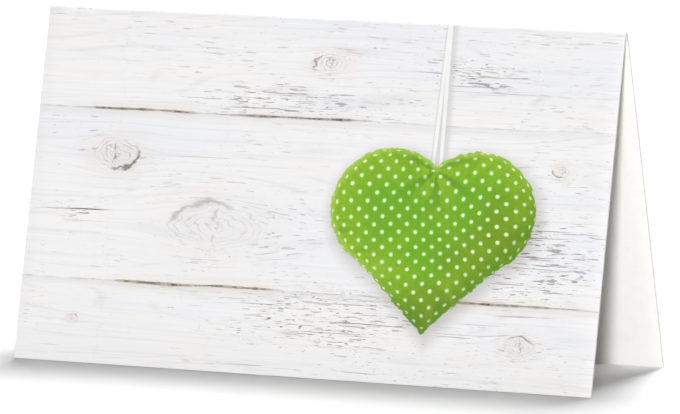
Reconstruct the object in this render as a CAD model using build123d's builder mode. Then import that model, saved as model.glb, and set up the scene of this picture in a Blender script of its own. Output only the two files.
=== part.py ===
from build123d import *
import os
from math import cos, radians, sin

# A tent-fold place card: one rectangle of printed board, scored across its middle and
# folded once, so that it stands open on the inner corners of its two long cut edges.
#
# Frame: X runs along the fold, Y from the front panel to the back one, Z up.
# The origin is on the table, under the middle of the fold. Lengths are in millimetres.

# The board, flat, before it is folded
card_width = 88.9  # along the fold
flat_length = 101.6  # across the fold, from cut edge to cut edge
board_thickness = 0.4

# The fold
opening_angle = 30.0  # between the panels, as the card stands
throat_radius = 0.15  # of the inside of the fold
bead_width = 0.6  # the ridge that the score raised inside the fold, panel to panel
bead_depth = 0.1  # how far that ridge bulges down between the panels

# What follows from them
half_angle = radians(opening_angle / 2)
bend_angle = radians(180 - opening_angle)
crest_radius = throat_radius + board_thickness
middle_radius = throat_radius + board_thickness / 2  # of the layer that keeps its length
panel_length = (flat_length - middle_radius * bend_angle) / 2  # the flat stretch
crest_centre_height = panel_length * cos(half_angle) - throat_radius * sin(half_angle)
bead_drop = (bead_width / 2 - throat_radius * cos(half_angle)) / sin(half_angle)


def draw_back_half():
    """The back half of the section: X of the sketch is the card's Y, and Y its Z."""
    down_panel = Vector(sin(half_angle), -cos(half_angle))
    out_of_panel = Vector(cos(half_angle), sin(half_angle))
    crest_centre = Vector(0, crest_centre_height)
    crest_top = crest_centre + Vector(0, crest_radius)
    outer_start = crest_centre + out_of_panel * crest_radius
    inner_start = crest_centre + out_of_panel * throat_radius
    outer_corner = outer_start + down_panel * panel_length
    standing_corner = inner_start + down_panel * panel_length
    bead_start = inner_start + down_panel * bead_drop

    RadiusArc(crest_top, outer_start, crest_radius)
    Polyline(outer_start, outer_corner, standing_corner, bead_start)
    return bead_start


def make_folded_card():
    """The sheet: its section, swept straight along the whole fold."""
    with BuildPart() as folded_card:
        with BuildSketch(Plane.YZ):
            with BuildLine():
                bead_start = draw_back_half()
                mirror(about=Plane.YZ)
                bead_end = Vector(-bead_start.X, bead_start.Y)
                SagittaArc(bead_start, bead_end, bead_depth)
            make_face()
        extrude(amount=card_width / 2, both=True)
    folded_card.part.label = "folded_card"
    return folded_card


os.makedirs("parts", exist_ok=True)
folded_card = make_folded_card()
export_step(folded_card.part, "parts/folded_card.step")

size = folded_card.part.bounding_box().size
print(f"stands {size.Z:.2f} high on a base {size.Y:.2f} deep, {size.X:.2f} wide")
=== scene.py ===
import math

import bmesh
import bpy
from mathutils import Matrix, Vector, noise


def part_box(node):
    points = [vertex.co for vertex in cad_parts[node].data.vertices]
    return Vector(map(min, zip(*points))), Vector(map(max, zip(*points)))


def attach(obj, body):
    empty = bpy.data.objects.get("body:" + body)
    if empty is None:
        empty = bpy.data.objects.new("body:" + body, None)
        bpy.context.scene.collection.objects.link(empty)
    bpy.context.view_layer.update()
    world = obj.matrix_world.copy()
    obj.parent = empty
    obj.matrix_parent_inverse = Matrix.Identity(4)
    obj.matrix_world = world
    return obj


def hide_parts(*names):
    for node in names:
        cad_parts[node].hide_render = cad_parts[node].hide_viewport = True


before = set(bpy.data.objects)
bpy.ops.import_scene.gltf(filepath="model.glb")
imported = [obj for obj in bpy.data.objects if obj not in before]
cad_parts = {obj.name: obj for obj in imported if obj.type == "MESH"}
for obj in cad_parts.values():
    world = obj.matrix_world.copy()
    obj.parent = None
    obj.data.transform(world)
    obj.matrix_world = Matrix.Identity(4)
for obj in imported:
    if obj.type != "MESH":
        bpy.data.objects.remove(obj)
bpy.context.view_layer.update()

# A tent-fold place card, in metres, with the fold along X and the printed panel facing -Y.
# Patterns on the sheet are drawn in millimetres of its "sheet" map: X from the card's left
# edge, Y from the front cut edge up to the fold and on to the back cut edge.
# In the looks, a band is where a mask starts and where it is full, an amount is how strongly
# a colour covers what is under it, and a stretch is how fast a noise changes along and across.

toMm = 1000.0
foldLine = 50.8  # where the fold crosses the sheet's map


# Small helpers for shader trees

def plug(tree, socket, value):
    if isinstance(value, bpy.types.NodeSocket):
        tree.links.new(value, socket)
    else:
        socket.default_value = value


def calc(tree, operation, *values):
    node = tree.nodes.new("ShaderNodeMath")
    node.operation = operation
    for socket, value in zip(node.inputs, values):
        plug(tree, socket, value)
    return node.outputs[0]


def times(tree, product, *others):
    for value in others:
        product = calc(tree, "MULTIPLY", product, value)
    return product


def spread(tree, value, gain, base):  # value * gain + base
    return calc(tree, "MULTIPLY_ADD", value, gain, base)


def apart(tree, one, other):
    return calc(tree, "ABSOLUTE", calc(tree, "SUBTRACT", one, other))


def vecCalc(tree, operation, *values):
    node = tree.nodes.new("ShaderNodeVectorMath")
    node.operation = operation
    for socket, value in zip(node.inputs, values):
        plug(tree, socket, value)
    return node.outputs["Value" if operation in {"LENGTH", "DOT_PRODUCT"} else "Vector"]


def scaled(tree, vector, amount):
    node = tree.nodes.new("ShaderNodeVectorMath")
    node.operation = "SCALE"
    plug(tree, node.inputs["Vector"], vector)
    plug(tree, node.inputs["Scale"], amount)
    return node.outputs["Vector"]


def rise(tree, value, start, end):  # 0 at start, 1 at end, smooth between
    node = tree.nodes.new("ShaderNodeMapRange")
    node.interpolation_type = "SMOOTHSTEP"
    plug(tree, node.inputs["Value"], value)
    plug(tree, node.inputs["From Min"], start)
    plug(tree, node.inputs["From Max"], end)
    return node.outputs["Result"]


def blendColour(tree, mask, under, over):
    node = tree.nodes.new("ShaderNodeMix")
    node.data_type = "RGBA"
    plug(tree, node.inputs["Factor"], mask)
    for socket, colour in zip(node.inputs[6:8], (under, over)):  # its two colour sockets
        plug(tree, socket, (*colour, 1) if isinstance(colour, tuple) else colour)
    return node.outputs[2]


def layOn(tree, under, look, value, *limits):
    # lays a look's colour on where a value is past the look's band, within the limits
    mask = times(tree, rise(tree, value, *look["band"]), *limits, look["amount"])
    return blendColour(tree, mask, under, look["colour"])


def parts(tree, vector):
    node = tree.nodes.new("ShaderNodeSeparateXYZ")
    plug(tree, node.inputs[0], vector)
    return node.outputs


def join(tree, x, y, z=0.0):
    node = tree.nodes.new("ShaderNodeCombineXYZ")
    for socket, value in zip(node.inputs, (x, y, z)):
        plug(tree, socket, value)
    return node.outputs[0]


def cloudNode(tree, vector, scale=1.0, detail=2.0, roughness=0.5):
    node = tree.nodes.new("ShaderNodeTexNoise")
    plug(tree, node.inputs["Vector"], vector)
    plug(tree, node.inputs["Scale"], scale)
    plug(tree, node.inputs["Detail"], detail)
    plug(tree, node.inputs["Roughness"], roughness)
    return node


def cloud(tree, vector, stretch=None, **looks):
    if stretch:
        vector = vecCalc(tree, "MULTIPLY", vector, (*stretch, 0))
    return cloudNode(tree, vector, **looks).outputs["Fac"]


def blotches(tree, vector, look):  # where a noise is past its band
    return rise(tree, cloud(tree, vector, **look["cloud"]), *look["band"])


def centred(tree, factor):
    return calc(tree, "SUBTRACT", factor, 0.5)


def newGroup(name, takes, gives):
    group = bpy.data.node_groups.new(name, "ShaderNodeTree")
    for label, kind in takes.items():
        group.interface.new_socket(label, in_out="INPUT", socket_type="NodeSocket" + kind)
    for label, kind in gives.items():
        group.interface.new_socket(label, in_out="OUTPUT", socket_type="NodeSocket" + kind)
    given = group.nodes.new("NodeGroupInput").outputs
    result = group.nodes.new("NodeGroupOutput").inputs
    return group, given, result


def place(tree, group, **values):
    node = tree.nodes.new("ShaderNodeGroup")
    node.node_tree = group
    for label, value in values.items():
        plug(tree, node.inputs[label], value)
    return node.outputs


def newMaterial(name):
    material = bpy.data.materials.new(name)
    material.use_nodes = True
    return material, material.node_tree, material.node_tree.nodes["Principled BSDF"]


def addBump(tree, shader, height, strength, distance):
    bump = tree.nodes.new("ShaderNodeBump")
    bump.inputs["Strength"].default_value = strength
    bump.inputs["Distance"].default_value = distance
    plug(tree, bump.inputs["Height"], height)
    tree.links.new(bump.outputs["Normal"], shader.inputs["Normal"])


def objectPlace(tree):
    return tree.nodes.new("ShaderNodeTexCoord").outputs["Object"]


def sheetPlace(tree):
    node = tree.nodes.new("ShaderNodeUVMap")
    node.uv_map = "sheet"
    return node.outputs["UV"]


# The folded sheet

cardSizes = {
    "thickness": 0.0004,
    "openingAngle": math.radians(30),
    "throatRadius": 0.00015,  # inside of the fold
    "beadWidth": 0.0006,  # ridge that the score raised inside the fold
    "beadDepth": 0.0001,
    "crestSteps": 12,
    "beadSteps": 4,
    "columns": 44,  # cuts of the panels, which let them bow a little
    "rows": 24,
    "edgeRounding": 0.00003,
    "roundingSteps": 2,
    "bow": 0.00008,  # how far the panels belly out between the fold and the cut edges
    "ripple": (22.0, 30.0),  # how fast the bow changes along the card and up it, in each metre
    "rippleSeed": 5.0,
    "rippleShare": 0.8,
    "weldGap": 0.00001,
    "cutGap": 0.0000004,
    "tableBand": 0.001,  # the standing edges lie below this height
    "endFacing": 0.4,  # how squarely a face looks along X to be on an end
    "downFacing": 0.5,  # and how squarely down to be on a standing edge
    "cornerAngle": 1.0,  # in radians, past which a corner of the cut faces is rounded too
    "sharpFrom": math.radians(35),
}

printedSlot, coatedSlot, insideSlot, cutSlot = range(4)


class CardShape:
    # where the section's corners are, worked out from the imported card's box
    def __init__(self, low, high):
        size = cardSizes
        self.half = size["openingAngle"] / 2
        self.width = high.x - low.x
        self.left = low.x
        self.crestRadius = size["throatRadius"] + size["thickness"]
        self.crestTurn = math.pi - size["openingAngle"]
        self.crestMiddle = Vector((0, 0, high.z - self.crestRadius))
        self.down = {-1: Vector((0, -math.sin(self.half), -math.cos(self.half)))}
        self.out = {-1: Vector((0, -math.cos(self.half), math.sin(self.half)))}
        for table in (self.down, self.out):
            table[1] = Vector((0, -table[-1].y, table[-1].z))
        throatDrop = size["throatRadius"] * math.sin(self.half)
        self.panelLength = (self.crestMiddle.z + throatDrop) / math.cos(self.half)
        middleRadius = size["throatRadius"] + size["thickness"] / 2
        self.sheetHalf = self.panelLength + middleRadius * self.crestTurn / 2
        gap = size["beadWidth"] / 2 - size["throatRadius"] * math.cos(self.half)
        self.beadDrop = gap / math.sin(self.half)

    def outerStart(self, side):
        return self.crestMiddle + self.out[side] * self.crestRadius

    def innerStart(self, side):
        return self.crestMiddle + self.out[side] * cardSizes["throatRadius"]

    def outerCorner(self, side):
        return self.outerStart(side) + self.down[side] * self.panelLength

    def standingCorner(self, side):
        return self.innerStart(side) + self.down[side] * self.panelLength

    def beadStart(self, side):
        return self.innerStart(side) + self.down[side] * self.beadDrop

    def downPanel(self, point, side):  # from the fold's centre towards the cut edge
        return (point - self.crestMiddle).dot(self.down[side])


def drawSection(bm, shape):
    toLeftEnd = Vector((shape.left, 0, 0))
    start = bmesh.ops.create_vert(bm, co=shape.outerStart(-1) + toLeftEnd)["vert"][0]
    spun = bmesh.ops.spin(
        bm, geom=[start], cent=shape.crestMiddle, axis=(1, 0, 0),
        angle=-shape.crestTurn, steps=cardSizes["crestSteps"],
    )
    ends = {-1: start, 1: spun["geom_last"][0]}
    for side, vert in ends.items():
        for corner in (shape.outerCorner, shape.standingCorner, shape.beadStart):
            grown = bmesh.ops.extrude_vert_indiv(bm, verts=[vert])
            vert = grown["verts"][0]
            vert.co = corner(side) + toLeftEnd
        ends[side] = vert
    halfChord, sag = cardSizes["beadWidth"] / 2, cardSizes["beadDepth"]
    beadRadius = (halfChord ** 2 + sag ** 2) / (2 * sag)
    beadMiddle = Vector((0, 0, ends[1].co.z + beadRadius - sag))
    bmesh.ops.spin(
        bm, geom=[ends[-1]], cent=beadMiddle, axis=(1, 0, 0),
        angle=2 * math.asin(halfChord / beadRadius), steps=cardSizes["beadSteps"],
    )
    bmesh.ops.remove_doubles(bm, verts=bm.verts, dist=cardSizes["weldGap"])
    return bmesh.ops.contextual_create(bm, geom=bm.edges)["faces"]


def cutIntoPatches(bm, shape):
    columns, rows = cardSizes["columns"], cardSizes["rows"]
    across = [shape.left + shape.width * i / columns for i in range(1, columns)]
    upward = [shape.beadStart(1).z * i / rows for i in range(1, rows + 1)]
    cuts = [(Vector((x, 0, 0)), (1, 0, 0)) for x in across]
    cuts += [(Vector((0, 0, z)), (0, 0, 1)) for z in upward]
    for point, normal in cuts:
        everything = bm.verts[:] + bm.edges[:] + bm.faces[:]
        bmesh.ops.bisect_plane(
            bm, geom=everything, plane_co=point, plane_no=normal, dist=cardSizes["cutGap"],
        )


def onEnd(normal):
    return abs(normal.x) > cardSizes["endFacing"]


def isCut(face):
    facesDown = face.normal.z < -cardSizes["downFacing"]
    atTable = face.calc_center_median().z < cardSizes["tableBand"]
    return onEnd(face.normal) or (facesDown and atTable)


def bowPanels(bm, shape):
    size = cardSizes
    alongRipple, upRipple = size["ripple"]
    for vert in bm.verts:
        side = -1 if vert.co.y < 0 else 1
        share = shape.downPanel(vert.co, side) / shape.panelLength
        if 0 < share < 1:
            spot = Vector((vert.co.x * alongRipple, vert.co.z * upRipple, side * size["rippleSeed"]))
            uneven = 1 + size["rippleShare"] * noise.noise(spot)
            vert.co += shape.out[side] * size["bow"] * math.sin(math.pi * share) * uneven


def roundCutEdges(bm):
    rims = [edge for edge in bm.edges if len({isCut(face) for face in edge.link_faces}) == 2]
    rims += [
        edge for edge in bm.edges
        if all(isCut(face) for face in edge.link_faces)
        and edge.calc_face_angle(0) > cardSizes["cornerAngle"]
    ]
    bmesh.ops.bevel(
        bm, geom=rims, offset=cardSizes["edgeRounding"], affect="EDGES",
        segments=cardSizes["roundingSteps"], profile=0.5, material=-1, clamp_overlap=True,
    )


def sheetSpot(shape, point, side):
    along = (point.x - shape.left) * toMm
    drop = shape.downPanel(point, side)
    if drop >= 0:
        fromCut = shape.panelLength - drop
    else:  # round the fold
        turn = math.atan2(-drop, (point - shape.crestMiddle).dot(shape.out[side]))
        halfFold = shape.sheetHalf - shape.panelLength
        fromCut = shape.panelLength + halfFold * turn / (shape.crestTurn / 2)
    across = fromCut if side < 0 else 2 * shape.sheetHalf - fromCut
    return Vector((along, across * toMm))


# The bake map, OFBake: the printed panel in its upper part, the other three in
# its lower left and the cut edges in its lower right, all in shares of the map's width.
bakeLayout = {
    "margin": 0.005,
    "printWidth": 0.99,
    "panelHeight": 0.204,  # of each of the other three
    "panelStep": (0.37, 0.212),
    "cutScale": 7.4,  # a metre of the cut edges
    "ends": (0.85, 0.04),
    "endDrop": 0.032,  # from one end to the other, one inside the other
    "strips": {-1: 0.97, 1: 0.985},  # the front and the back standing edge
    "stripScale": 0.0045,  # a millimetre along them
}


def panelSpot(shape, slot, side, flat):
    layout = bakeLayout
    margin, halfSheet = layout["margin"], shape.sheetHalf * toMm
    if slot == printedSlot:
        scale = layout["printWidth"] / (shape.width * toMm)
        return Vector((margin + flat.x * scale, 1 - margin - (halfSheet - flat.y) * scale))
    scale = layout["panelHeight"] / halfSheet
    column = 0 if slot == coatedSlot or side > 0 else 1
    row = 0 if slot == insideSlot and side > 0 else 1
    fromCut = flat.y if side < 0 else 2 * halfSheet - flat.y
    stepX, stepY = layout["panelStep"]
    return Vector((margin + stepX * column + flat.x * scale, margin + stepY * row + fromCut * scale))


def cutSpot(shape, point, side, flat, normal):
    layout = bakeLayout
    scale = layout["cutScale"]
    if onEnd(normal):
        x, y = layout["ends"]
        drop = 0.0 if normal.x > 0 else layout["endDrop"]
        return Vector((x + point.y * scale, y - drop + point.z * scale))
    thick = (point - shape.innerStart(side)).dot(shape.out[side])
    along = layout["margin"] + flat.x * layout["stripScale"]
    return Vector((layout["strips"][side] + thick * scale, along))


def mapSheet(bm, shape):
    sheetMap = bm.loops.layers.uv.new("sheet")
    bakeMap = bm.loops.layers.uv.new("OFBake")
    for face in bm.faces:
        side = -1 if face.calc_center_median().y < 0 else 1
        if isCut(face):
            face.material_index = cutSlot
        elif face.normal.z < 0:
            face.material_index = insideSlot
        else:
            face.material_index = printedSlot if side < 0 else coatedSlot
        for loop in face.loops:
            flat = sheetSpot(shape, loop.vert.co, side)
            loop[sheetMap].uv = flat
            if face.material_index == cutSlot:
                loop[bakeMap].uv = cutSpot(shape, loop.vert.co, side, flat, face.normal)
            else:
                loop[bakeMap].uv = panelSpot(shape, face.material_index, side, flat)


def makeCard():
    low, high = (Vector(corner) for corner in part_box("folded_card"))
    shape = CardShape(low, high)
    bm = bmesh.new()
    section = drawSection(bm, shape)
    swept = bmesh.ops.extrude_face_region(bm, geom=section)["geom"]
    moved = [item for item in swept if isinstance(item, bmesh.types.BMVert)]
    bmesh.ops.translate(bm, vec=(shape.width, 0, 0), verts=moved)
    bmesh.ops.recalc_face_normals(bm, faces=bm.faces)
    cutIntoPatches(bm, shape)
    bowPanels(bm, shape)
    roundCutEdges(bm)
    bmesh.ops.recalc_face_normals(bm, faces=bm.faces)
    mapSheet(bm, shape)
    for face in bm.faces:
        face.smooth = True
    mesh = bpy.data.meshes.new("placeCard")
    bm.to_mesh(mesh)
    bm.free()
    mesh.set_sharp_from_angle(angle=cardSizes["sharpFrom"])
    card = bpy.data.objects.new("place_card_sheet", mesh)
    bpy.context.collection.objects.link(card)
    print("card: faces", len(mesh.polygons), "sheet half", round(shape.sheetHalf * toMm, 3), "mm")
    return card


# Paper, which every side of the board shows

fibreLook = {
    "wander": 0.6,  # how closely the fibres' bends follow each other
    "lays": (0.3, 1.5, 2.6),  # the directions that they lie in, in radians
    "stretch": (0.22, 1.9, 1.3),
    "stretchPerLay": 0.1,
    "tangle": {"scale": 1.3, "detail": 3, "roughness": 0.55},
    "flock": {"scale": 0.16, "detail": 3, "roughness": 0.6},
    "mottle": (0.6, 0.4),  # shares of tangle and flock
}

coatedLook = {
    "colour": (0.92, 0.92, 0.918),
    "shade": (0.888, 0.89, 0.89),
    "fibre": 0.5,  # size of the fibre pattern, in millimetres
    "band": (0.34, 0.58),
    "roughness": (0.2, 0.32),  # what the mottle adds, and the base
    "specular": 0.5,
    "bump": (0.25, 0.00002),  # strength and height
}
insideLook = {
    "colour": (0.95, 0.942, 0.912),
    "shade": (0.915, 0.90, 0.86),
    "fibre": 0.35,
    "band": (0.36, 0.6),
    "roughness": (0.15, 0.82),
    "specular": 0.3,
    "bump": (0.5, 0.00003),
}
cutLook = {
    "colour": (0.95, 0.945, 0.93),
    "shade": (0.79, 0.775, 0.74),
    "fibre": 0.12,
    "band": (0.34, 0.62),
    "roughness": (0, 0.95),
    "specular": 0.2,
    "bump": (0.8, 0.00004),
}


def makeFibreGroup():
    # felted fibres: a mottle for the colour and a height for the bump, in metres of the piece
    look = fibreLook
    group, given, result = newGroup(
        "paperFibre", {"Point": "Vector", "Size": "Float"}, {"Mottle": "Float", "Height": "Float"},
    )
    point = vecCalc(group, "MULTIPLY", given["Point"], (toMm, toMm, toMm))
    point = vecCalc(group, "DIVIDE", point, join(group, given["Size"], given["Size"], given["Size"]))
    bend = cloudNode(group, point, scale=look["wander"])
    bent = vecCalc(group, "ADD", point, bend.outputs["Color"])
    felt = None
    for turn in look["lays"]:
        lay = group.nodes.new("ShaderNodeVectorRotate")
        lay.rotation_type = "X_AXIS"
        plug(group, lay.inputs["Vector"], bent)
        lay.inputs["Angle"].default_value = turn
        along, up, through = look["stretch"]
        stretch = (along + turn * look["stretchPerLay"], up, through)
        drawn = vecCalc(group, "MULTIPLY", lay.outputs[0], stretch)
        tangle = cloud(group, drawn, **look["tangle"])
        felt = tangle if felt is None else calc(group, "MAXIMUM", felt, tangle)
    flock = cloud(group, point, **look["flock"])
    feltShare, flockShare = look["mottle"]
    mottle = calc(group, "ADD", times(group, felt, feltShare), times(group, flock, flockShare))
    plug(group, result["Mottle"], mottle)
    plug(group, result["Height"], felt)
    return group


def makePaper(name, look, fibreGroup, drawInk=None):
    material, tree, shader = newMaterial(name)
    fibre = place(tree, fibreGroup, Point=objectPlace(tree), Size=look["fibre"])
    if drawInk:
        colour = drawInk(tree, sheetPlace(tree))
    else:
        pale = rise(tree, fibre["Mottle"], *look["band"])
        colour = blendColour(tree, pale, look["shade"], look["colour"])
    plug(tree, shader.inputs["Base Color"], colour)
    gain, base = look["roughness"]
    roughness = spread(tree, fibre["Mottle"], gain, base) if gain else base
    plug(tree, shader.inputs["Roughness"], roughness)
    shader.inputs["Specular IOR Level"].default_value = look["specular"]
    addBump(tree, shader, fibre["Height"], *look["bump"])
    return material


# The print: limewashed boards

boardLook = {
    "height": 24.5,
    "lift": 12.5,  # moves the seams down from a whole number of boards
    "wander": 0.9,  # how far the seams stray from straight
    "wanderCloud": {"stretch": (0.045, 0.07)},
    "paint": (0.892, 0.886, 0.889),
    "grainStep": 3.7,  # sets each board's grain apart from the next one's
}

# middle across and up the panel, half width and half height, the side with the open crack
boardKnots = [
    {"middle": (29.5, 20.5), "size": (6.2, 3.6), "rings": 4.5, "side": (-0.6, 0.8), "amount": 0.42},
    {"middle": (13.0, 30.0), "size": (3.2, 2.2), "rings": 3.4, "side": (0.8, -0.6), "amount": 0.9},
    {"middle": (81.5, 31.0), "size": (1.3, 0.8), "rings": 2.0, "side": (-0.7, -0.7), "amount": 0.85},
    {"middle": (77.5, 6.4), "size": (2.2, 1.3), "rings": 2.8, "side": (0.3, 0.95), "amount": 0.85},
    {"middle": (45.0, 44.4), "size": (2.6, 1.4), "rings": 2.8, "side": (-0.9, 0.3), "amount": 0.7},
    {"middle": (8.5, 6.2), "size": (0.9, 0.6), "rings": 1.3, "side": (0.5, 0.8), "amount": 0.8},
]

# A knot and what it is made of, in shares of its half width and half height.
knotShape = {
    "wobble": 1.1,
    "wobbleCloud": {"scale": 0.9, "detail": 3},
    "wobbleSeeds": (0.0, 31.7),
    "crumbs": {"scale": 3.2, "detail": 3, "roughness": 0.65},
    "crumble": 0.3,
    "face": (1.15, 0.7),
    "faceCrumbs": (0.3, 0.7),
    "halo": (2.4, 1.1),
    "clear": (0.8, 1.25),  # the board's own grain and wear end there
}
knotRings = {
    "crowding": 1.3,
    "band": (0.34, 0.48),
    "reach": (1.35, 0.9),
    "seed": (3.7, 1.9, 0),
    "shown": {"cloud": {"scale": 1.0}, "band": (0.42, 0.62)},
    "strength": (0.5, 0.12),  # what a shown place adds, and the least
}
knotRim = {
    "ragged": 0.9,
    "open": (0.25, 0.95),
    "width": (0.11, 0.05),  # what the open side adds, and the least
    "strength": (0.85, 0.15),
}
knotSplit = {
    "bend": 0.9,
    "bendCloud": {"scale": 1.6, "detail": 3, "roughness": 0.7},
    "length": (0.95, 0.2),
    "width": 0.085,
    "leastWidth": 0.005,
    "core": 0.3,
    "broken": (0.36, 0.52),
    "strength": 0.7,
}
knotFlow = {"steepness": 0.55, "reach": (0.67, 0.72, 0), "fade": -0.8}  # how the grain goes round

knotColours = {  # of the knot group's outputs, in the order that they are laid on
    "Halo": {"colour": (0.83, 0.76, 0.67), "amount": 0.3},
    "Face": {"colour": (0.76, 0.725, 0.695), "amount": 0.7},
    "Line": {"colour": (0.15, 0.115, 0.095), "amount": 1.0},
}


def drawKnotRings(tree, given, seeded, radius):
    # rings that the paint hides in places
    look = knotRings
    turns = times(tree, calc(tree, "POWER", radius, look["crowding"]), given["Rings"])
    rings = rise(tree, calc(tree, "PINGPONG", turns, 0.5), *look["band"])
    shown = blotches(tree, vecCalc(tree, "ADD", seeded, look["seed"]), look["shown"])
    strength = spread(tree, shown, *look["strength"])
    return times(tree, rings, rise(tree, radius, *look["reach"]), strength)


def drawKnotRim(tree, given, local, radius, crumbs):
    # the crack between the knot and the board, widest on one side
    look = knotRim
    towards = vecCalc(tree, "DOT_PRODUCT", vecCalc(tree, "NORMALIZE", local), given["Side"])
    opened = rise(tree, spread(tree, centred(tree, crumbs), look["ragged"], towards), *look["open"])
    offRim = apart(tree, radius, 1.0)
    rim = rise(tree, offRim, spread(tree, opened, *look["width"]), 0.0)
    return times(tree, rim, spread(tree, opened, *look["strength"]))


def drawKnotSplit(tree, local, seeded, crumbs):
    # a thin crack across the knot
    look = knotSplit
    x, y, _ = parts(tree, local)
    bend = centred(tree, cloud(tree, seeded, **look["bendCloud"]))
    offSplit = calc(tree, "ABSOLUTE", spread(tree, bend, look["bend"], x))
    taper = times(tree, rise(tree, calc(tree, "ABSOLUTE", y), *look["length"]), look["width"])
    outer = calc(tree, "ADD", taper, look["leastWidth"])
    split = rise(tree, offSplit, outer, times(tree, taper, look["core"]))
    return times(tree, split, rise(tree, crumbs, *look["broken"]), look["strength"])


def liftGrain(tree, straight, size):
    # the grain bends round the knot
    look = knotFlow
    y = parts(tree, straight)[1]
    steep = calc(tree, "DIVIDE", y, calc(tree, "ADD", calc(tree, "ABSOLUTE", y), look["steepness"]))
    far = vecCalc(tree, "LENGTH", vecCalc(tree, "MULTIPLY", straight, look["reach"]))
    fade = calc(tree, "EXPONENT", times(tree, far, far, look["fade"]))
    return times(tree, steep, fade, parts(tree, size)[1])


def makeKnotGroup():
    look = knotShape
    group, given, result = newGroup(
        "boardKnot",
        {"Point": "Vector", "Middle": "Vector", "Size": "Vector", "Side": "Vector", "Rings": "Float"},
        {"Lift": "Float", "Line": "Float", "Face": "Float", "Halo": "Float", "Clear": "Float"},
    )
    fromMiddle = vecCalc(group, "SUBTRACT", given["Point"], given["Middle"])
    straight = vecCalc(group, "DIVIDE", fromMiddle, given["Size"])
    seeded = vecCalc(group, "ADD", straight, given["Middle"])
    wobbles = []
    for seed in look["wobbleSeeds"]:
        shifted = vecCalc(group, "ADD", seeded, (seed, 0, 0))
        wobbles.append(centred(group, cloud(group, shifted, **look["wobbleCloud"])))
    local = vecCalc(group, "ADD", straight, scaled(group, join(group, *wobbles), look["wobble"]))
    crumbs = cloud(group, seeded, **look["crumbs"])
    radius = spread(group, centred(group, crumbs), look["crumble"], vecCalc(group, "LENGTH", local))
    rings = drawKnotRings(group, given, seeded, radius)
    rim = drawKnotRim(group, given, local, radius, crumbs)
    split = drawKnotSplit(group, local, seeded, crumbs)
    face = times(group, rise(group, radius, *look["face"]), rise(group, crumbs, *look["faceCrumbs"]))
    plug(group, result["Line"], calc(group, "MAXIMUM", calc(group, "MAXIMUM", rings, rim), split))
    plug(group, result["Face"], face)
    plug(group, result["Halo"], rise(group, radius, *look["halo"]))
    plug(group, result["Clear"], rise(group, radius, *look["clear"]))
    plug(group, result["Lift"], liftGrain(group, straight, given["Size"]))
    return group


def placeKnots(tree, point):
    group = makeKnotGroup()
    return [
        place(
            tree, group, Point=point, Middle=(*knot["middle"], 0), Size=(*knot["size"], 1),
            Side=(*knot["side"], 0), Rings=knot["rings"],
        )
        for knot in boardKnots
    ]


def drawKnots(tree, knots, colour):
    for knot, outputs in zip(boardKnots, knots):
        for label, look in knotColours.items():
            mask = times(tree, outputs[label], look["amount"] * knot["amount"])
            colour = blendColour(tree, mask, colour, look["colour"])
    return colour


def grainMaker(tree, x, grainY, number):
    # gives streaks that run along the boards and start anew on each
    def grain(stretch, seed, detail=3, roughness=0.5):
        along, across = times(tree, x, stretch[0]), times(tree, grainY, stretch[1])
        board = spread(tree, number, boardLook["grainStep"], seed)
        return cloud(tree, join(tree, along, across, board), detail=detail, roughness=roughness)
    return grain


brushRoughness = 0.6
brushMarks = [
    {"stretch": (0.014, 0.10), "seed": 0.0, "detail": 2, "band": (0.42, 0.62),
     "colour": (0.82, 0.835, 0.88), "amount": 0.5},
    {"stretch": (0.022, 0.13), "seed": 11.3, "detail": 2, "band": (0.47, 0.66),
     "colour": (0.91, 0.885, 0.85), "amount": 0.5},
    {"stretch": (0.03, 2.0), "seed": 22.6, "detail": 4, "band": (0.5, 0.72),
     "colour": (0.73, 0.725, 0.735), "amount": 0.4},
    {"stretch": (0.05, 3.4), "seed": 33.9, "detail": 3, "band": (0.5, 0.72),
     "colour": (0.93, 0.93, 0.93), "amount": 0.6},
]
growthLines = {
    "contours": {"stretch": (0.011, 0.085), "seed": 31.0, "detail": 1},
    "count": 24,
    "band": (0.33, 0.5),
    "shown": {"stretch": (0.06, 0.5), "seed": 37.0},
    "shownBand": (0.45, 0.65),
    "colour": (0.66, 0.645, 0.65),
    "amount": 0.3,
}


def drawGrain(tree, grain, clear, colour):
    for mark in brushMarks:
        strokes = grain(mark["stretch"], mark["seed"], mark["detail"], brushRoughness)
        colour = layOn(tree, colour, mark, strokes)
    look = growthLines
    lines = calc(tree, "PINGPONG", times(tree, grain(**look["contours"]), look["count"]), 0.5)
    shown = rise(tree, grain(**look["shown"]), *look["shownBand"])
    return layOn(tree, colour, look, lines, shown, clear)


# dashes where the paint is gone, in patches: easier is what wear adds to the dashes
wornMarks = [
    {"dash": (0.30, 3.2), "patch": (0.05, 0.12), "seeds": (50.0, 90.0), "band": (0.63, 0.69),
     "easier": 0.02, "colour": (0.40, 0.38, 0.39), "amount": 0.7},
    {"dash": (0.50, 6.0), "patch": (0.08, 0.16), "seeds": (57.1, 95.3), "band": (0.635, 0.685),
     "easier": 0.02, "colour": (0.20, 0.175, 0.165), "amount": 0.8},
    {"dash": (0.20, 2.6), "patch": (0.06, 0.10), "seeds": (64.2, 100.6), "band": (0.64, 0.70),
     "easier": 0.03, "colour": (0.50, 0.40, 0.30), "amount": 0.45},
    {"dash": (1.1, 3.5), "patch": (0.10, 0.20), "seeds": (71.3, 105.9), "band": (0.68, 0.73),
     "easier": 0.02, "colour": (0.20, 0.18, 0.17), "amount": 0.75},
    {"dash": (0.06, 4.0), "patch": (0.04, 0.25), "seeds": (78.4, 111.2), "band": (0.66, 0.71),
     "easier": 0.03, "colour": (0.22, 0.185, 0.16), "amount": 0.7},
    {"dash": (0.24, 1.3), "patch": (0.07, 0.10), "seeds": (85.5, 116.5), "band": (0.665, 0.70),
     "easier": 0.03, "colour": (0.42, 0.405, 0.43), "amount": 0.75},
]
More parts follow.
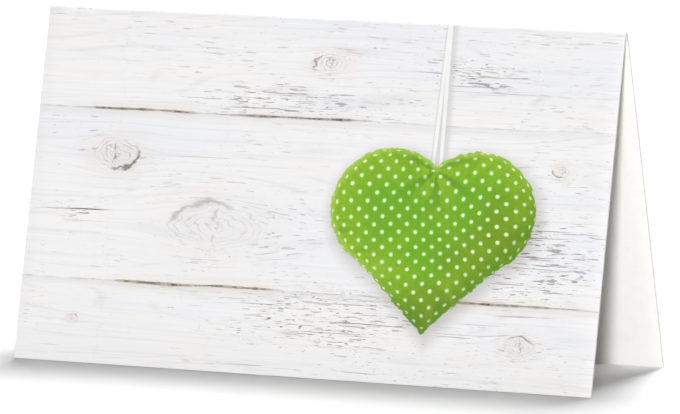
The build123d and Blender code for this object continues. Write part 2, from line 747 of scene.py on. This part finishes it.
wornPlaces = [  # middle, half width and half height
    {"middle": (50.0, 7.5), "size": (17.0, 5.5)},
    {"middle": (78.0, 18.5), "size": (10.0, 7.0)},
    {"middle": (38.0, 38.5), "size": (11.0, 3.0)},
    {"middle": (68.0, 43.5), "size": (8.0, 2.2)},
    {"middle": (8.0, 22.0), "size": (6.0, 1.8)},
]
wearLook = {
    "placeBand": (1.5, 0.3),  # from outside a worn place to well inside it
    "roundKnots": 0.6,
    "patchBand": (0.48, 0.63),
    "bolder": (0.7, 0.75),  # strength of the marks: what wear adds, and the least
    "barer": 0.12,  # what wear adds to the patches
    "bareBand": (8.0, 45.0),  # they also grow from left to right
    "bareDrift": (0.05, -0.045),
}


def howWorn(tree, point, knots):
    # more round the worn places and the knots, none elsewhere
    worn = 0.0
    for spot in wornPlaces:
        fromMiddle = vecCalc(tree, "SUBTRACT", point, (*spot["middle"], 0))
        far = vecCalc(tree, "LENGTH", vecCalc(tree, "DIVIDE", fromMiddle, (*spot["size"], 1)))
        worn = calc(tree, "MAXIMUM", worn, rise(tree, far, *wearLook["placeBand"]))
    for knot in knots:
        worn = calc(tree, "MAXIMUM", worn, times(tree, knot["Halo"], wearLook["roundKnots"]))
    return worn


def drawWear(tree, grain, x, worn, clear, colour):
    look = wearLook
    bolder = times(tree, clear, spread(tree, worn, *look["bolder"]))
    barer = spread(tree, rise(tree, x, *look["bareBand"]), *look["bareDrift"])
    barer = spread(tree, worn, look["barer"], barer)
    for mark in wornMarks:
        dashSeed, patchSeed = mark["seeds"]
        dashes = calc(tree, "ADD", grain(mark["dash"], dashSeed), times(tree, worn, mark["easier"]))
        patch = calc(tree, "ADD", grain(mark["patch"], patchSeed), barer)
        colour = layOn(tree, colour, mark, dashes, rise(tree, patch, *look["patchBand"]), bolder)
    return colour


seamLook = {
    "chips": {"stretch": (0.5, 0.2), "detail": 3, "roughness": 0.6},
    "chipDepth": 0.35,
    "place": (0.09, 7.7),  # how fast a seam changes on its way, and from one seam to the next
    "open": {"cloud": {"scale": 0.55}, "band": (0.43, 0.6)},
    "hidden": {"cloud": {"stretch": (2.2, 1.0), "scale": 1.3}, "band": (0.4, 0.6)},
    "strength": (0.72, 0.25),  # of the open stretches and of the hidden ones
    "ragged": {"stretch": (1.1, 0.4), "detail": 3, "roughness": 0.65},
    "width": (0.24, 0.04),  # what an open stretch adds, and where it is painted over
    "softEdge": 0.1,
    "core": 0.5,
    "toneBand": (0.42, 0.62),
    "dark": (0.075, 0.05, 0.035),
    "light": (0.36, 0.31, 0.26),
    "stain": {"band": (1.7, 0.1), "colour": (0.80, 0.71, 0.58), "amount": 0.65},
    "shade": {"band": (0.93, 1.0), "colour": (0.55, 0.54, 0.53), "amount": 0.2},
}


def drawSeams(tree, point, share, colour):
    # a crack that is open in some stretches and painted over in others
    look = seamLook
    chips = centred(tree, cloud(tree, point, **look["chips"]))
    toSeam = times(tree, calc(tree, "PINGPONG", share, 0.5), boardLook["height"])
    toSeam = calc(tree, "MAXIMUM", spread(tree, chips, look["chipDepth"], toSeam), 0.0)
    perMm, perSeam = look["place"]
    along = times(tree, parts(tree, point)[0], perMm)
    seamPlace = join(tree, along, times(tree, calc(tree, "ROUND", share), perSeam))
    opened = blotches(tree, seamPlace, look["open"])
    ragged = cloud(tree, point, **look["ragged"])
    gap = times(tree, opened, ragged)
    colour = layOn(tree, colour, look["stain"], toSeam, gap)
    colour = layOn(tree, colour, look["shade"], calc(tree, "FRACT", share))

    width = spread(tree, gap, *look["width"])
    outer = calc(tree, "ADD", width, look["softEdge"])
    crack = rise(tree, toSeam, outer, times(tree, width, look["core"]))
    openStrength, hiddenStrength = look["strength"]
    hidden = times(tree, blotches(tree, seamPlace, look["hidden"]), hiddenStrength)
    strength = spread(tree, opened, openStrength, hidden)
    tone = blendColour(tree, rise(tree, ragged, *look["toneBand"]), look["dark"], look["light"])
    return blendColour(tree, times(tree, crack, strength), colour, tone)


def drawBoards(tree, point):
    look = boardLook
    x, y, _ = parts(tree, point)
    knots = placeKnots(tree, point)
    wander = centred(tree, cloud(tree, point, **look["wanderCloud"]))
    boardY = spread(tree, wander, look["wander"], y)
    share = calc(tree, "DIVIDE", calc(tree, "ADD", boardY, look["lift"]), look["height"])
    grainY, clear = boardY, 1.0
    for knot in knots:
        grainY = calc(tree, "SUBTRACT", grainY, knot["Lift"])
        clear = times(tree, clear, knot["Clear"])
    grain = grainMaker(tree, x, grainY, calc(tree, "FLOOR", share))
    colour = drawGrain(tree, grain, clear, look["paint"])
    colour = drawWear(tree, grain, x, howWorn(tree, point, knots), clear, colour)
    colour = drawKnots(tree, knots, colour)
    return drawSeams(tree, point, share, colour)


# The print: a padded heart with white dots, on a ribbon

heartLook = {
    "tip": (62.6, 7.8),
    "width": 30.2,
    "height": 24.8,
    "disc": (0.27, 0.77, 0.375),  # a lobe's place and radius, where the square's diagonal is 1
    "cornerBlend": 0.05,  # how softly the square runs into the discs
    "rounding": 0.02,
    "notch": 22.4,  # above the tip
    "sewnEdge": {"scale": 0.85, "roughness": 0.6},
    "sewnDepth": 0.9,
    "softEdge": (-0.07, 0.07),
    "roll": 3.4,  # how far in from its edge the padding starts to fall away
    "rollMiddle": 0.58,  # the share of its height that it falls away from
    "drift": {"scale": 0.16},  # slow changes over the cloth
    "shadowShift": (0.5, -0.7),
    "shadow": {"band": (-2.2, 1.0), "colour": (0.33, 0.30, 0.25), "amount": 0.5},
}


def makeHeartGroup():
    # how far in from a heart's edge a point is: a square on its corner and two discs
    group, given, result = newGroup(
        "heartOutline", {"Point": "Vector", "Width": "Float", "Height": "Float", "Rounding": "Float"},
        {"Inside": "Float"},
    )
    discX, discY, discRadius = heartLook["disc"]
    x, y, _ = parts(group, given["Point"])
    scaleX = calc(group, "DIVIDE", given["Width"], 2 * (discX + discRadius))
    scaleY = calc(group, "DIVIDE", given["Height"], discY + discRadius)
    x = calc(group, "DIVIDE", calc(group, "ABSOLUTE", x), scaleX)
    y = calc(group, "DIVIDE", y, scaleY)
    disc = vecCalc(group, "LENGTH", vecCalc(group, "SUBTRACT", join(group, x, y), (discX, discY, 0)))
    disc = calc(group, "SUBTRACT", disc, discRadius)
    square = centred(group, calc(group, "ADD", x, apart(group, y, 0.5)))
    square = times(group, square, math.sqrt(0.5))
    outline = calc(group, "SMOOTH_MIN", disc, square, heartLook["cornerBlend"])
    outline = calc(group, "SUBTRACT", given["Rounding"], outline)
    plug(group, result["Inside"], times(group, outline, scaleY))
    return group


ribbonLook = {
    "halfWidth": 0.42,
    "spread": (0.60, 0.10),  # of each strand from the middle, at the heart and at the fold
    "start": (-1.2, -0.6),  # behind the heart's notch
    "softEdge": (0.06, -0.08),  # from the half width
    "satin": (0.93, 0.93, 0.915),
    "shaded": (0.63, 0.63, 0.63),
    "shadedFrom": 0.35,  # a share of the half width
    "sheenCloud": {"stretch": (3.0, 0.35)},
    "sheen": {"band": (0.4, 0.62), "colour": (0.78, 0.78, 0.79), "amount": 0.3},
    "shadowShift": 0.45,
    "shadow": {"band": (0.7, -0.35), "colour": (0.40, 0.39, 0.38), "amount": 0.34},
}


def drawRibbon(tree, point, under):
    look = ribbonLook
    half = look["halfWidth"]
    startX, startY = heartLook["tip"][0], heartLook["tip"][1] + heartLook["notch"]
    x, y, _ = parts(tree, vecCalc(tree, "SUBTRACT", point, (startX, startY, 0)))
    climb = calc(tree, "DIVIDE", y, foldLine - startY)
    low, high = look["spread"]
    fromMiddle = spread(tree, climb, high - low, low)

    def offStrand(shift):
        return apart(tree, apart(tree, x, shift), fromMiddle)

    shown = rise(tree, y, *look["start"])
    cast = calc(tree, "SUBTRACT", offStrand(look["shadowShift"]), half)
    colour = layOn(tree, under, look["shadow"], cast, shown)
    off = offStrand(0.0)
    shaded = rise(tree, off, half * look["shadedFrom"], half)
    satin = blendColour(tree, shaded, look["satin"], look["shaded"])
    satin = layOn(tree, satin, look["sheen"], cloud(tree, point, **look["sheenCloud"]))
    mask = rise(tree, off, *(half + soft for soft in look["softEdge"]))
    return blendColour(tree, times(tree, mask, shown), colour, satin)


deepGreen, paleGreen = (0.052, 0.22, 0.01), (0.46, 0.66, 0.11)  # creases, and where light catches

clothLook = {
    "green": (0.168, 0.425, 0.018),
    "edgeGreen": (0.29, 0.50, 0.023),
    "edge": {"drift": 5.0, "band": (6.5, 0.3), "amount": 0.85},
    "left": {"slope": (-1.0, -0.35), "band": (2.0, 9.0), "amount": 0.8},
    "brownSlope": (0.05, -0.055),
    "brown": {"band": (-0.75, 0.15), "colour": (0.18, 0.245, 0.009), "amount": 0.85},
    "weaveCloud": {"scale": 2.2, "detail": 3, "roughness": 0.75},
    "weave": {"band": (0.35, 0.65), "colour": deepGreen, "amount": 0.24},
}


def slopeAt(tree, spot, slope):  # the slope says how much a step across and one up count
    x, y, _ = parts(tree, spot)
    return spread(tree, y, slope[1], times(tree, x, slope[0]))


def drawCloth(tree, point, spot, inside, drift):
    # greens, yellower towards the edge and the lower left, browner at the lower right
    look, edge, left = clothLook, clothLook["edge"], clothLook["left"]
    fromEdge = spread(tree, drift, edge["drift"], inside)
    atEdge = times(tree, rise(tree, fromEdge, *edge["band"]), edge["amount"])
    leftward = slopeAt(tree, spot, left["slope"])
    atLeft = times(tree, rise(tree, leftward, *left["band"]), left["amount"])
    yellow = calc(tree, "MAXIMUM", atEdge, atLeft)
    cloth = blendColour(tree, yellow, look["green"], look["edgeGreen"])
    rightward = calc(tree, "ADD", slopeAt(tree, spot, look["brownSlope"]), drift)
    cloth = layOn(tree, cloth, look["brown"], rightward)
    return layOn(tree, cloth, look["weave"], cloud(tree, point, **look["weaveCloud"]))


dotLook = {
    "colour": (0.76, 0.94, 0.52),
    "radius": 0.27,
    "softEdge": (0.13, -0.12),  # from the radius
    "steps": (2.46, 2.16),
    "turn": math.radians(-4),
    "lie": {"scale": 0.1, "detail": 0},
    "lieShift": 1.5,  # how far apart the cloth's lie moves the dots
}


def drawDots(tree, spot, cloth):
    look = dotLook
    turn = tree.nodes.new("ShaderNodeVectorRotate")
    turn.rotation_type = "Z_AXIS"
    turn.inputs["Angle"].default_value = look["turn"]
    plug(tree, turn.inputs["Vector"], spot)
    halfX, halfY = (step / 2 for step in look["steps"])
    nearest = None
    for row in (0, 1):  # two grids, one half a step off the other
        x, y, _ = parts(tree, vecCalc(tree, "ADD", turn.outputs[0], (row * halfX, row * halfY, 0)))
        x = calc(tree, "WRAP", x, halfX, -halfX)
        y = calc(tree, "WRAP", y, halfY, -halfY)
        distance = vecCalc(tree, "LENGTH", join(tree, x, y))
        nearest = distance if nearest is None else calc(tree, "MINIMUM", nearest, distance)
    dots = rise(tree, nearest, *(look["radius"] + soft for soft in look["softEdge"]))
    return blendColour(tree, dots, cloth, look["colour"])


def rollCloth(tree, point, spot, away, intoRoll):
    # the cloth turns away at the edge, so the dots crowd there, and its lie moves them a little
    extra = calc(tree, "SUBTRACT", calc(tree, "ARCSINE", intoRoll), intoRoll)
    rolled = scaled(tree, away, times(tree, extra, heartLook["roll"]))
    lie = cloudNode(tree, point, **dotLook["lie"]).outputs["Color"]
    moved = scaled(tree, vecCalc(tree, "SUBTRACT", lie, (0.5, 0.5, 0.5)), dotLook["lieShift"])
    onCloth = vecCalc(tree, "ADD", spot, vecCalc(tree, "ADD", rolled, moved))
    return vecCalc(tree, "MULTIPLY", onCloth, (1, 1, 0))


gathers = {"count": 6.5, "drift": 6.0, "start": 1.4, "reach": (8.5, 1.0),
           "band": (-0.1, 1.0), "colour": deepGreen, "amount": 0.6}


def drawGathers(tree, spot, drift, cloth):
    # creases that run down from the notch
    look = gathers
    fromNotch = vecCalc(tree, "SUBTRACT", spot, (0, heartLook["notch"], 0))
    x, y, _ = parts(tree, fromNotch)
    angle = calc(tree, "ARCTAN2", x, times(tree, y, -1.0))
    phase = spread(tree, drift, look["drift"], look["start"])
    fan = calc(tree, "SINE", spread(tree, angle, look["count"], phase))
    reach = rise(tree, vecCalc(tree, "LENGTH", fromNotch), *look["reach"])
    return layOn(tree, cloth, look, fan, reach)


puckers = {
    "cloud": {"stretch": (5.5, 5.5), "roughness": 0.6},
    "slant": 0.012,
    "reach": (4.2, 0.4),
    "pits": {"band": (0.52, 0.7), "colour": deepGreen, "amount": 0.42},
    "ridges": {"band": (0.46, 0.32), "colour": paleGreen, "amount": 0.22},
}


def drawPuckers(tree, spot, away, inside, cloth):
    # short creases along the sewn edge
    look = puckers
    slanted = vecCalc(tree, "ADD", away, scaled(tree, spot, look["slant"]))
    pulled = cloud(tree, slanted, **look["cloud"])
    nearEdge = rise(tree, inside, *look["reach"])
    cloth = layOn(tree, cloth, look["pits"], pulled, nearEdge)
    return layOn(tree, cloth, look["ridges"], pulled, nearEdge)


roundness = {
    "lightFrom": (-0.6, 0.8),
    "dark": {"band": (0.15, -0.8), "colour": deepGreen, "amount": 0.5},
    "light": {"band": (-0.5, 0.7), "colour": paleGreen, "amount": 0.55},
    "lightReach": (1.0, 0.1),
}


def drawRoundness(tree, away, inside, intoRoll, cloth):
    # light from the upper left
    look = roundness
    facing = slopeAt(tree, away, look["lightFrom"])
    cloth = layOn(tree, cloth, look["dark"], facing, intoRoll)
    return layOn(tree, cloth, look["light"], facing, rise(tree, inside, *look["lightReach"]))


def drawHeart(tree, point, under):
    look = heartLook
    group = makeHeartGroup()
    outline = {"Width": look["width"], "Height": look["height"], "Rounding": look["rounding"]}
    spot = vecCalc(tree, "SUBTRACT", point, (*look["tip"], 0))
    cast = vecCalc(tree, "SUBTRACT", spot, (*look["shadowShift"], 0))
    cast = place(tree, group, Point=cast, **outline)["Inside"]
    colour = layOn(tree, under, look["shadow"], cast)

    uneven = centred(tree, cloud(tree, point, **look["sewnEdge"]))
    inside = place(tree, group, Point=spot, **outline)["Inside"]
    inside = spread(tree, uneven, look["sewnDepth"], inside)
    rollMiddle = (0, look["height"] * look["rollMiddle"], 0)
    away = vecCalc(tree, "NORMALIZE", vecCalc(tree, "SUBTRACT", spot, rollMiddle))
    intoRoll = calc(tree, "SUBTRACT", 1.0, calc(tree, "DIVIDE", inside, look["roll"]))
    intoRoll = calc(tree, "MINIMUM", calc(tree, "MAXIMUM", intoRoll, 0.0), 1.0)
    drift = centred(tree, cloud(tree, point, **look["drift"]))

    cloth = drawCloth(tree, point, spot, inside, drift)
    cloth = drawDots(tree, rollCloth(tree, point, spot, away, intoRoll), cloth)
    cloth = drawGathers(tree, spot, drift, cloth)
    cloth = drawPuckers(tree, spot, away, inside, cloth)
    cloth = drawRoundness(tree, away, inside, intoRoll, cloth)
    return blendColour(tree, rise(tree, inside, *look["softEdge"]), colour, cloth)


printLook = {
    "fibre": coatedLook["fibre"],
    "roughness": (0.12, 0.36),
    "specular": 0.25,
    "bump": (0.2, 0.00002),
    "foldReach": (foldLine - 0.7, foldLine - 0.2),  # where the ink broke
    "specks": {"stretch": (2.4, 9.0), "detail": 3, "roughness": 0.6},
    "broken": {"band": (0.56, 0.64), "colour": cutLook["colour"], "amount": 0.35},
}


def drawPrint(tree, point):
    look = printLook
    colour = drawBoards(tree, point)
    colour = drawRibbon(tree, point, colour)
    colour = drawHeart(tree, point, colour)
    nearFold = rise(tree, parts(tree, point)[1], *look["foldReach"])
    return layOn(tree, colour, look["broken"], cloud(tree, point, **look["specks"]), nearFold)


# The table, the lamps and the camera

stageLook = {
    "floorSize": 8.0,
    "floorColour": (0.965, 0.963, 0.966),
    "floorMottle": 1.01,
    "floorCloud": {"scale": 6.0},
    "floorRoughness": 0.9,
    "floorSpecular": 0.1,
    "floorGlow": 0.02,  # only for what is seen, so that the bare floor is white
    "floorBounce": 0.55,  # share of the light that it throws back at the card
    "worldColour": (0.93, 0.93, 1.0),
    "worldStrength": 0.06,
}

# Azimuth 0 is in front of the card and 90 to its right, in degrees. A white surface that
# faces a lamp squarely gets that lamp's level of light, where 1 shows it as full white.
lamps = {
    "keySoftbox": {"azimuth": 18.6, "elevation": 5, "distance": 3.0, "size": 0.34, "level": 0.76},
    "rightSoftbox": {"azimuth": 80, "elevation": 6, "distance": 1.5, "size": 0.4, "level": 0.18},
    "leftSoftbox": {"azimuth": 280, "elevation": 6, "distance": 1.5, "size": 0.4, "level": 0.2},
    "rearSoftbox": {"azimuth": 190, "elevation": 12, "distance": 1.5, "size": 0.5, "level": 0.1},
    "highSoftbox": {"azimuth": 181, "elevation": 65, "distance": 1.5, "size": 0.5, "level": 0.95},
}

cameraLook = {
    "azimuth": 24.51,
    "elevation": 8.56,
    "roll": 0.52,
    "distance": 1.0,
    "lensPixels": 7079,
    "imageWidth": 680,
    "sensorWidth": 36,
    "clipStart": 0.01,
    "aim": (0.00061, -0.00214),  # across the view and up it, from the middle of the card
    "aimHeight": 0.0245,
}


def fromAngles(azimuth, elevation):
    a, e = math.radians(azimuth), math.radians(elevation)
    return Vector((math.sin(a) * math.cos(e), -math.cos(a) * math.cos(e), math.sin(e)))


def seenRays(tree):  # 1 for what the camera sees, also in a gloss or through glass
    path = tree.nodes.new("ShaderNodeLightPath")
    seen = calc(tree, "MAXIMUM", path.outputs["Is Camera Ray"], path.outputs["Is Glossy Ray"])
    return calc(tree, "MAXIMUM", seen, path.outputs["Is Transmission Ray"])


def makeTableFinish():
    look = stageLook
    material, tree, shader = newMaterial("paleTable")
    pale = look["floorColour"]
    brighter = tuple(c * look["floorMottle"] for c in pale)
    dull = tuple(c * look["floorBounce"] for c in pale)
    mottled = blendColour(tree, cloud(tree, objectPlace(tree), **look["floorCloud"]), pale, brighter)
    seen = seenRays(tree)
    plug(tree, shader.inputs["Base Color"], blendColour(tree, seen, dull, mottled))
    shader.inputs["Roughness"].default_value = look["floorRoughness"]
    shader.inputs["Specular IOR Level"].default_value = look["floorSpecular"]
    glow = tree.nodes.new("ShaderNodeEmission")
    plug(tree, glow.inputs["Strength"], times(tree, seen, look["floorGlow"]))
    added = tree.nodes.new("ShaderNodeAddShader")
    tree.links.new(shader.outputs[0], added.inputs[0])
    tree.links.new(glow.outputs[0], added.inputs[1])
    tree.links.new(added.outputs[0], tree.nodes["Material Output"].inputs["Surface"])
    return material


def makeFloor():
    bm = bmesh.new()
    bmesh.ops.create_grid(bm, x_segments=1, y_segments=1, size=stageLook["floorSize"] / 2)
    mesh = bpy.data.meshes.new("table")
    bm.to_mesh(mesh)
    bm.free()
    floor = bpy.data.objects.new("table", mesh)
    bpy.context.collection.objects.link(floor)
    mesh.materials.append(makeTableFinish())


def makeWorld():
    world = bpy.data.worlds.new("studio")
    bpy.context.scene.world = world
    world.use_nodes = True
    tree = world.node_tree
    background = tree.nodes["Background"]
    seen = seenRays(tree)
    strength, white = stageLook["worldStrength"], (1.0, 1.0, 1.0)
    colour = blendColour(tree, seen, stageLook["worldColour"], white)
    plug(tree, background.inputs["Color"], colour)
    plug(tree, background.inputs["Strength"], spread(tree, seen, 1 - strength, strength))


def makeLamps():
    aim = Vector((0, 0, cameraLook["aimHeight"]))
    for name, lamp in lamps.items():
        light = bpy.data.lights.new(name, "AREA")
        light.shape = "DISK"
        light.size = lamp["size"]
        light.energy = lamp["level"] * (math.pi * lamp["distance"]) ** 2
        holder = bpy.data.objects.new(name, light)
        bpy.context.collection.objects.link(holder)
        toLamp = fromAngles(lamp["azimuth"], lamp["elevation"])
        holder.location = aim + toLamp * lamp["distance"]
        holder.rotation_euler = toLamp.to_track_quat("Z", "Y").to_euler()


def makeCamera():
    look = cameraLook
    back = fromAngles(look["azimuth"], look["elevation"])
    azimuth = math.radians(look["azimuth"])
    right = Vector((math.cos(azimuth), math.sin(azimuth), 0))
    up = back.cross(right)
    target = Vector((0, 0, look["aimHeight"])) + right * look["aim"][0] + up * look["aim"][1]
    turn = Matrix((right, up, back)).transposed() @ Matrix.Rotation(-math.radians(look["roll"]), 3, "Z")
    data = bpy.data.cameras.new("camera")
    data.sensor_width = look["sensorWidth"]
    data.lens = look["lensPixels"] / look["imageWidth"] * data.sensor_width
    data.clip_start = look["clipStart"]
    camera = bpy.data.objects.new("camera", data)
    camera.location = target + back * look["distance"]
    camera.rotation_euler = turn.to_euler()
    bpy.context.collection.objects.link(camera)
    bpy.context.scene.camera = camera


makeCamera()
makeFloor()
makeWorld()
makeLamps()
bpy.context.scene.view_settings.view_transform = "Standard"
print("stage: table, world,", len(lamps), "lamps and the camera")

card = makeCard()
fibreGroup = makeFibreGroup()
finishes = [  # in the order of the slots
    makePaper("printedFront", printLook, fibreGroup, drawPrint),
    makePaper("coatedBack", coatedLook, fibreGroup),
    makePaper("uncoatedInside", insideLook, fibreGroup),
    makePaper("cutEdge", cutLook, fibreGroup),
]
for material in finishes:
    card.data.materials.append(material)
    print("finish:", material.name, len(material.node_tree.nodes), "nodes")
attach(card, "root")
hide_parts("folded_card")
